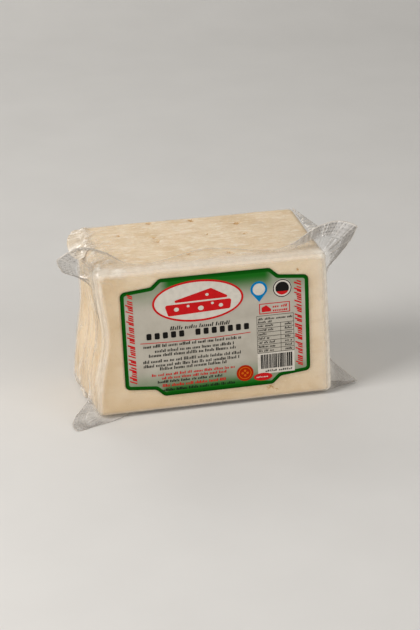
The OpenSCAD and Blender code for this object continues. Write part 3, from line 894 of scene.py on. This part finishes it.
def round_corners(corners, radii, steps=6):
    """Closed outline with each corner turned by an arc of its own radius."""
    corners = np.array(corners, float)
    out = []
    for i, here in enumerate(corners):
        to_before, to_after = corners[i - 1] - here, corners[(i + 1) % len(corners)] - here
        a, b = unit(to_before), unit(to_after)
        half = math.acos(max(-1, min(1, float(a @ b)))) / 2
        room = min(np.linalg.norm(to_before), np.linalg.norm(to_after)) / 2
        back = min(radii[i] / math.tan(half), room)
        centre = here + unit(a + b) * (back * math.tan(half) / math.sin(half))
        start, end = here + a * back - centre, here + b * back - centre
        turn = np.sign(start[0] * end[1] - start[1] * end[0]) * (math.pi - 2 * half)
        for g in np.linspace(0, turn, steps + 1):
            s, c = math.sin(g), math.cos(g)
            out.append(centre + [start[0] * c - start[1] * s, start[0] * s + start[1] * c])
    return np.array(out)


def label_corners(inset=0.0):
    """Corners of the label's outline, clockwise from the upper right, moved in by so many mm."""
    quarter = [(33.0, 37.5), (38.0, 32.8), (56.25, 31.0)]
    corners = quarter + [(x, -y) for x, y in quarter[::-1]]
    corners = np.array(corners + [(-x, -y) for x, y in corners])
    moved = []
    for i, here in enumerate(corners):
        sides = []
        for a, b in ((corners[i - 1], here), (here, corners[(i + 1) % len(corners)])):
            d = unit(b - a)
            sides.append((a + np.array([d[1], -d[0]]) * inset, d))
        (p, d), (q, e) = sides
        moved.append(p + d * np.linalg.solve(np.array([d, -e]).T, q - p)[0])
    return np.array(moved)


CORNER_R, NOTCH_R, INNER_R = 3.2, 4.0, 1.3
outline = round_corners(label_corners(), [CORNER_R] * 12)
print("label outline:", len(outline), "points")


# %% One printed colour
class Ink:
    """Collects the thin shapes of one printed colour and makes them one piece."""

    def __init__(self, name, finish, lift, depth=0.02):
        self.name, self.finish, self.lift, self.depth = name, finish, lift, depth
        self.points, self.faces, self.tone = [], [], []

    def _add(self, a, b, faces, tone):
        start, n = sum(len(q) for q in self.points), len(a)
        self.points += [on_label(a, b, self.lift), on_label(a, b, self.lift - self.depth)]
        self.tone += list(tone) * 2
        for f in faces:
            self.faces.append([start + k for k in f])
            self.faces.append([start + n + k for k in f[::-1]])
        return start, n

    def _wall(self, start, n, first, count):
        for k in range(count):
            here, after = start + first + k, start + first + (k + 1) % count
            self.faces.append([here, n + here, n + after, after])

    def plate(self, shape):
        a, b = np.array(shape).T
        start, n = self._add(a, b, [list(range(len(a)))], [0.0] * len(a))
        self._wall(start, n, 0, n)

    def ring(self, outer, inner):
        m = len(outer)
        a, b = np.concatenate([outer, inner]).T
        quads = [[k, (k + 1) % m, m + (k + 1) % m, m + k] for k in range(m)]
        start, n = self._add(a, b, quads, [0.0] * m + [1.0] * m)
        self._wall(start, n, 0, m)
        self._wall(start, n, m, m)

    def box(self, a, b, wide, high, slant=0.0, turn=0.0):
        s, c = math.sin(turn), math.cos(turn)
        w, h = wide / 2, high / 2
        shape = [(-w - slant, -h), (w - slant, -h), (w + slant, h), (-w + slant, h)]
        self.plate([(a + x * c - y * s, b + x * s + y * c) for x, y in shape])

    def make(self):
        piece = make_piece(
            self.name, to_metres(np.concatenate(self.points)), self.faces, self.finish,
            smooth=False, masks={"tone": self.tone})
        fix_normals(piece)
        return piece


def fix_normals(piece):
    bm = bmesh.new()
    bm.from_mesh(piece.data)
    bmesh.ops.recalc_face_normals(bm, faces=bm.faces)
    bm.to_mesh(piece.data)
    bm.free()


def ellipse(a, b, wide, high, steps=72):
    g = np.linspace(0, 2 * math.pi, steps, endpoint=False)
    return np.stack([a + wide * np.cos(g), b + high * np.sin(g)], -1)


def disc(centre, radius, steps=40):
    return ellipse(*centre, radius, radius, steps)


# %% [markdown]
# ## Inks
#
# The ground is a silver white that reads as warm grey, and it fades to green at the top and
# bottom of the middle panel. A metal shader would mirror a dark room and go black, so the
# silver is a plain warm grey with a faint gloss and soft dents. Inks on film are thin and
# never perfectly even, so each has a faint cloud in its colour and its roughness.

# %% Ink materials
INK_GLOSS = 0.03
GREEN_DEEP, SILVER, SILVER_WARM = (0.004, 0.125, 0.004), (0.50, 0.465, 0.395), (0.44, 0.405, 0.34)
BORDER_OUT, BORDER_IN = (0.001, 0.050, 0.002), (0.003, 0.095, 0.004)


def ink_finish(name, colour, rough=0.34, uneven=0.06):
    ink = Finish(name)
    cloud = ink.grain(3.5, 4)
    deep, pale = (tuple(min(1, c * k) for c in colour) for k in (1 - uneven, 1 + uneven))
    ink.feed(ink.shader, {
        "Base Color": ink.layers(deep, (ink.ramp(cloud, 0.3, 0.7), pale)),
        "Roughness": ink.ramp(cloud, 0.3, 0.7, rough, rough + 0.12),
        "Specular IOR Level": INK_GLOSS,
    })
    return ink


black_ink = ink_finish("black_ink", (0.012, 0.011, 0.010))
grey_ink = ink_finish("grey_ink", (0.035, 0.031, 0.027))
red_ink = ink_finish("red_ink", (0.55, 0.012, 0.014))
white_ink = ink_finish("white_ink", (0.64, 0.60, 0.53))
blue_ink = ink_finish("blue_ink", (0.004, 0.19, 0.45))
orange_ink = ink_finish("orange_ink", (0.40, 0.022, 0.002))
amber_ink = ink_finish("amber_ink", (0.62, 0.13, 0.008))

# %% Silver ground that fades to green, most in its middle panel
silver = Finish("silver_ground")


def height_band(low, high):
    """0 to 1 between two heights up the label."""
    return silver.ramp(silver.along("Z"), LABEL_Z + low, LABEL_Z + high)


def either(a, b):
    return silver.maths("MAXIMUM", a, b)


off_middle = silver.maths("SUBTRACT", silver.along("X"), float(SHIFT[0] + LABEL_X))
middle_panel = silver.ramp(silver.maths("ABSOLUTE", off_middle), 40, 28)
deep_fade = silver.times(either(height_band(19, 34), height_band(-23, -35)), middle_panel)
soft_fade = silver.times(either(height_band(17, 33), height_band(-18, -31)), 0.5)
silver.feed(silver.shader, {
    "Base Color": silver.layers(
        SILVER,
        (silver.ramp(silver.grain(14), 0.35, 0.7), SILVER_WARM),
        (either(deep_fade, soft_fade), GREEN_DEEP),
    ),
    "Roughness": 0.38,
    "Specular IOR Level": 0.12,
    "Normal": silver.bump(silver.grain(8, stretch=(1, 1, 0.5)), 0.35, 0.8),
})

green = Finish("green_border")
tone = green.maths("ADD", green.mask("tone"), green.times(green.grain(4), 0.2))
green.feed(green.shader, {
    "Base Color": green.layers(BORDER_OUT, (tone, BORDER_IN)),
    "Roughness": 0.34,
    "Specular IOR Level": INK_GLOSS,
})
print("inks ready")

# %% Ground plate and green border
BORDER_W = 2.3
GROUND_LIFT, BORDER_LIFT = 0.08, 0.11
ground_plate = Ink("label_ground", silver, GROUND_LIFT, GROUND_LIFT)
ground_plate.plate(outline)
label_ground = ground_plate.make()
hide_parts("label")

inner = round_corners(label_corners(BORDER_W), [INNER_R, NOTCH_R, INNER_R] * 4)
border = Ink("label_border", green, BORDER_LIFT)
border.ring(outline, inner)
border.make()

# %% [markdown]
# ## Shapes on the label
#
# The big oval holds a plain wedge of cheese, which any maker could print. Letters could be
# set as text, but this label is to name nobody, so rows of ticks stand for small print and
# square blocks for the large line. The table, the bars and the round stamps are the plain
# shapes that such labels carry. All draws are seeded.

# %% The layers of print, each with how far it lies over the film
WHITE_LIFT, INK_LIFT, OVER_LIFT = 0.12, 0.15, 0.18
layers = [
    Ink("print_white", white_ink, WHITE_LIFT), Ink("print_red", red_ink, INK_LIFT),
    Ink("print_black", black_ink, INK_LIFT), Ink("print_small", grey_ink, INK_LIFT),
    Ink("print_blue", blue_ink, INK_LIFT), Ink("print_orange", orange_ink, INK_LIFT),
    Ink("print_amber", amber_ink, OVER_LIFT), Ink("print_top", white_ink, OVER_LIFT),
    Ink("print_stamp", red_ink, OVER_LIFT),
]
white, red, black, small, blue, orange, amber, over, stamp = layers

# %% The oval and the wedge in it
OVAL_AT, OVAL_WIDE, OVAL_HIGH, OVAL_LINE = (-10.5, 21.5), 27.2, 13.1, 1.25
WEDGE_A, WEDGE_B = OVAL_AT[0], OVAL_AT[1] - 1.6
WEDGE_SIDE = [(-20, 0.4), (20, 1.0), (19, -5.2), (-18, -6.6)]
WEDGE_TOP = [(-19.5, 1.4), (8, 8.8), (19.6, 2.0)]
# Each hole is [a, b, radius]
WEDGE_HOLES = [(-13, -2.7, 1.5), (-6.0, -1.2, 0.9), (1.5, -3.2, 1.7), (8.5, -0.8, 0.9),
               (13.5, -2.6, 1.3), (5.5, 4.9, 1.0)]


def oval(smaller):
    return ellipse(*OVAL_AT, OVAL_WIDE - smaller, OVAL_HIGH - smaller)


white.plate(oval(0.2))
red.ring(oval(0), oval(OVAL_LINE))
for shape, radius in ((WEDGE_SIDE, 1.2), (WEDGE_TOP, 0.8)):
    corners = np.array(shape) + [WEDGE_A, WEDGE_B]
    red.plate(round_corners(corners, [radius] * len(corners), 4))
for a, b, r in WEDGE_HOLES:
    over.plate(ellipse(WEDGE_A + a, WEDGE_B + b, r, r * 0.85, 24))


# %% Rows of ticks in place of words
TICK_DRAWS = np.random.RandomState(23)


def tick_row(layer, start, end, b, high, turn=0.0, gap=0.36, slant=0.12, pitch=0.86):
    """Short strokes in groups, from a = start to end at height b, turned about the start."""
    s, c = math.sin(turn), math.cos(turn)
    at, length = 0.0, end - start
    while at < length:
        for _ in range(int(TICK_DRAWS.randint(3, 9))):
            if at > length:
                break
            tall = high * TICK_DRAWS.choice([0.62, 0.7, 1.0])
            wide = (pitch - gap) * TICK_DRAWS.uniform(0.8, 1.25)
            y = tall / 2 - high * 0.35
            layer.box(start + at * c - y * s, b + at * s + y * c, wide, tall, slant * tall, turn)
            at += pitch
        at += pitch * 0.9


tick_row(black, -27.2, 8.4, 5.3, 2.4, pitch=1.25, gap=0.6)
for start, end, b in ((-43.9, 15.0, -4.9), (-37.2, 10.0, -8.2), (-41.0, 10.6, -10.9),
                      (-44.5, 14.2, -14.6), (-44.5, 13.4, -17.4), (-34.8, 5.4, -19.8)):
    tick_row(black, start, end, b, 2.0, pitch=0.95, gap=0.4, slant=0.03)
for layer, start, end, b, high in ((red, -39.8, 10.2, -23.6, 1.7), (red, -34.0, 4.7, -26.0, 1.7),
                                   (black, -36.6, 3.0, -28.3, 1.6), (red, -33.8, 4.3, -30.9, 1.9),
                                   (black, -34.0, 9.7, -33.8, 1.7)):
    tick_row(layer, start, end, b, high, pitch=0.95, slant=0.05)


# %% The large line: plain blocks in two groups, with a thin curve under them
BLOCK_START, BLOCK_PITCH, BLOCK_RISE = -40.6, 5.05 * 0.965, 0.03
BLOCK = np.array([(-1.5, -2.0), (-1.5, 2.0), (1.5, 2.0), (1.5, -2.0)])
for k in (*range(5), *range(6, 13)):
    at = [BLOCK_START + k * BLOCK_PITCH, 1.6 + BLOCK_RISE * k]
    black.plate(round_corners(BLOCK + at, [0.7] * 4, 3))
curve_a = np.linspace(-46.0, 20.2, 40)
curve = np.stack([curve_a, 0.9 * ((curve_a + 13) / 33) ** 2 - 3.3], -1)
red.plate(np.concatenate([curve, (curve + [0, 0.42])[::-1]]))

# %% The pin, the round stamp and the boxed mark
PIN_AT, STAMP_AT, CUT_B = (26.1, 24.6), (40.2, 23.9), 22.2
pin = [q for q in disc(PIN_AT, 5.1) if q[1] > CUT_B]
pin.sort(key=lambda q: math.atan2(q[0] - PIN_AT[0], q[1] - PIN_AT[1]))
blue.plate(pin + [np.array((PIN_AT[0], PIN_AT[1] - 8))])
over.plate(disc(PIN_AT, 3.7, 36))
white.plate(disc(STAMP_AT, 5.9))
small.ring(disc(STAMP_AT, 5.7, 48), disc(STAMP_AT, 5.1, 48))
black.plate(disc(STAMP_AT, 4.1))
stamp.plate([q for q in disc(STAMP_AT, 4.1) if q[1] < CUT_B])

red.ring(*(
    np.array([(25.9 + d, 8.5 + d), (44.6 - d, 8.5 + d), (44.6 - d, 15.2 - d), (25.9 + d, 15.2 - d)])
    for d in (0, 0.5)))
red.plate([(27.4, 9.8), (33.0, 9.8), (33.0, 11.4), (30.2, 14.0), (27.4, 12.6)])
for b in (12.6, 10.2):
    tick_row(red, 34.6, 43.0, b, 1.7, pitch=1.3, gap=0.5)


# %% The table
TABLE_L, TABLE_R, TABLE_T, TABLE_B = 24.2, 46.6, 7.4, -16.6
TABLE_HEAD, TABLE_SPLIT, THIN_LINE, THICK_LINE, TABLE_PRINT = 5.3, 38.6, 0.2, 0.26, 1.4
for b in np.linspace(TABLE_B, TABLE_T, 10):
    if b < TABLE_T - 4 or b > TABLE_T - 0.1:
        small.box((TABLE_L + TABLE_R) / 2, b, TABLE_R - TABLE_L, THICK_LINE)
for a, top in ((TABLE_L, TABLE_T), (TABLE_R, TABLE_T), (TABLE_SPLIT, TABLE_T - TABLE_HEAD)):
    small.box(a, (top + TABLE_B) / 2, THIN_LINE, top - TABLE_B)
tick_row(black, 25.2, 45.6, 5.2, TABLE_PRINT)
tick_row(black, 25.2, 33.0, 3.2, TABLE_PRINT)
for b in np.linspace(TABLE_B + 1.2, TABLE_T - 6.6, 7):
    tick_row(black, 25.2, 25.2 + TICK_DRAWS.uniform(5, 10), b, TABLE_PRINT)
    tick_row(black, 41.5, 45.6, b, TABLE_PRINT)


# %% The bars on their white field
BARS_FROM, BARS_TO, BARS_B, BARS_HIGH = 25.9, 44.8, -22.4, 9.2
white.box(35.3, -23.6, 22.6, 13.4)
at = BARS_FROM
while at < BARS_TO:
    bar = TICK_DRAWS.choice([0.35, 0.5, 0.7, 0.9])
    black.box(at + bar / 2, BARS_B, bar, BARS_HIGH)
    at += bar + TICK_DRAWS.choice([0.2, 0.28, 0.45])
tick_row(black, 29.0, 45.6, -28.8, 1.3, pitch=1.2, gap=0.5)

# %% The seal, the red oval and the rows along both sides
SEAL_AT, SEAL_DOTS, SEAL_DOT = (16.0, -28.4), 1.5, 0.75
orange.plate(disc(SEAL_AT, 5.2))
amber.ring(disc(SEAL_AT, 3.9, 36), disc(SEAL_AT, 3.5, 36))
for q in disc(SEAL_AT, SEAL_DOTS, 4):
    amber.plate(disc(q, SEAL_DOT, 16))
red.plate(ellipse(27.0, -32.1, 5.7, 2.5, 40))
tick_row(over, 23.2, 30.4, -32.2, 1.1, pitch=0.9)
for a, low, high in ((-50.6, -26.5, 28.8), (50.2, -26.6, 28.2)):
    tick_row(red, a, a + high - low, low, 4.3, turn=math.pi / 2, pitch=1.3, gap=0.42, slant=0.22)


# %% Make the printed layers
for layer in layers:
    layer.make()


# %% [markdown]
# ## Floor, light and camera
#
# A pale warm floor that curves up far behind is enough. The light is soft and even, with a
# large lamp above and to the left that gives the film its glints, and a weak fill from the
# right. The camera looks down on the front and the left end through a long lens. Hard sun
# would show more glints, but it would burn out the white creases of the film.

# %% Floor
FLOOR_HALF, BEND_FROM, BEND = 2.2, 0.7, 0.5
plain = Finish("studio_floor")
plain.feed(plain.shader, {
    "Base Color": plain.layers((0.66, 0.65, 0.63), (plain.grain(60), (0.72, 0.71, 0.69))),
    "Roughness": 0.85,
})
sweep = [(-1.2, 0.0), (BEND_FROM, 0.0)]
for g in np.linspace(0.1, math.pi / 2, 14):
    sweep.append((BEND_FROM + BEND * math.sin(g), BEND - BEND * math.cos(g)))
sweep.append((BEND_FROM + BEND, 2.2))
floor_mesh = bpy.data.meshes.new("studio_sweep")
floor_mesh.from_pydata(
    [(x, y, z) for y, z in sweep for x in (-FLOOR_HALF, FLOOR_HALF)], [],
    [(2 * k, 2 * k + 1, 2 * k + 3, 2 * k + 2) for k in range(len(sweep) - 1)])
floor_mesh.polygons.foreach_set("use_smooth", [True] * len(floor_mesh.polygons))
floor_mesh.materials.append(plain.material)
floor = bpy.data.objects.new("studio_sweep", floor_mesh)
bpy.context.scene.collection.objects.link(floor)
floor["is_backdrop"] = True


# %% Lamps and world
def aim(thing, where, way):
    """Puts a lamp or camera somewhere and turns it to look along way."""
    bpy.context.scene.collection.objects.link(thing)
    thing.location = where
    thing.rotation_mode = "QUATERNION"
    thing.rotation_quaternion = way.to_track_quat("-Z", "Y")


def lamp(name, where, look_at, size, power, colour):
    data = bpy.data.lights.new(name, "AREA")
    data.shape, data.energy, data.color = "RECTANGLE", power, colour
    data.size, data.size_y = size
    aim(bpy.data.objects.new(name, data), where, Vector(look_at) - Vector(where))


lamp("lamp_key", (-0.85, -0.30, 0.75), (0, 0, 0.05), (0.45, 0.45), 8.6, (1.0, 0.97, 0.94))
lamp("lamp_fill", (0.8, -1.1, 0.6), (0, 0, 0.05), (1.0, 0.8), 6.6, (1.0, 0.98, 0.96))
lamp("lamp_back", (-0.2, 0.9, 0.8), (0, 0, 0.08), (0.6, 0.3), 1.8, (1.0, 0.98, 0.95))
world = bpy.data.worlds.new("studio_world")
world.use_nodes = True
sky = world.node_tree.nodes["Background"].inputs
sky["Color"].default_value, sky["Strength"].default_value = (1.0, 0.985, 0.96, 1), 0.34
bpy.context.scene.world = world
bpy.context.scene.view_settings.view_transform = "Standard"
print("lamps:", [thing.name for thing in bpy.data.lights])

# %% Camera
AZIMUTH, ELEVATION, DISTANCE, LENS = math.radians(-14.5), math.radians(24.2), 1.204425, 115.0
LOOK_X, LOOK_Z = 6.845, 45.66
target = Vector(((SHIFT[0] + LOOK_X) * MM, SHIFT[1] * MM, LOOK_Z * MM))
back = Vector((
    math.sin(AZIMUTH) * math.cos(ELEVATION),
    -math.cos(AZIMUTH) * math.cos(ELEVATION),
    math.sin(ELEVATION),
))
camera_data = bpy.data.cameras.new("camera")
camera_data.lens, camera_data.sensor_width, camera_data.sensor_fit = LENS, 36.0, "AUTO"
camera_data.clip_start, camera_data.clip_end = 0.05, 20
camera = bpy.data.objects.new("camera", camera_data)
aim(camera, target + back * DISTANCE, -back)
bpy.context.scene.camera = camera
print("camera at", [round(v, 3) for v in camera.location])

# %% Sizes, and finish
bpy.context.view_layer.update()
made_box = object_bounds()
grown = [[round((m - c) / MM, 2) for m, c in zip(a, b)] for a, b in zip(made_box, cad_box)]
print("made minus packed, mm:", grown)
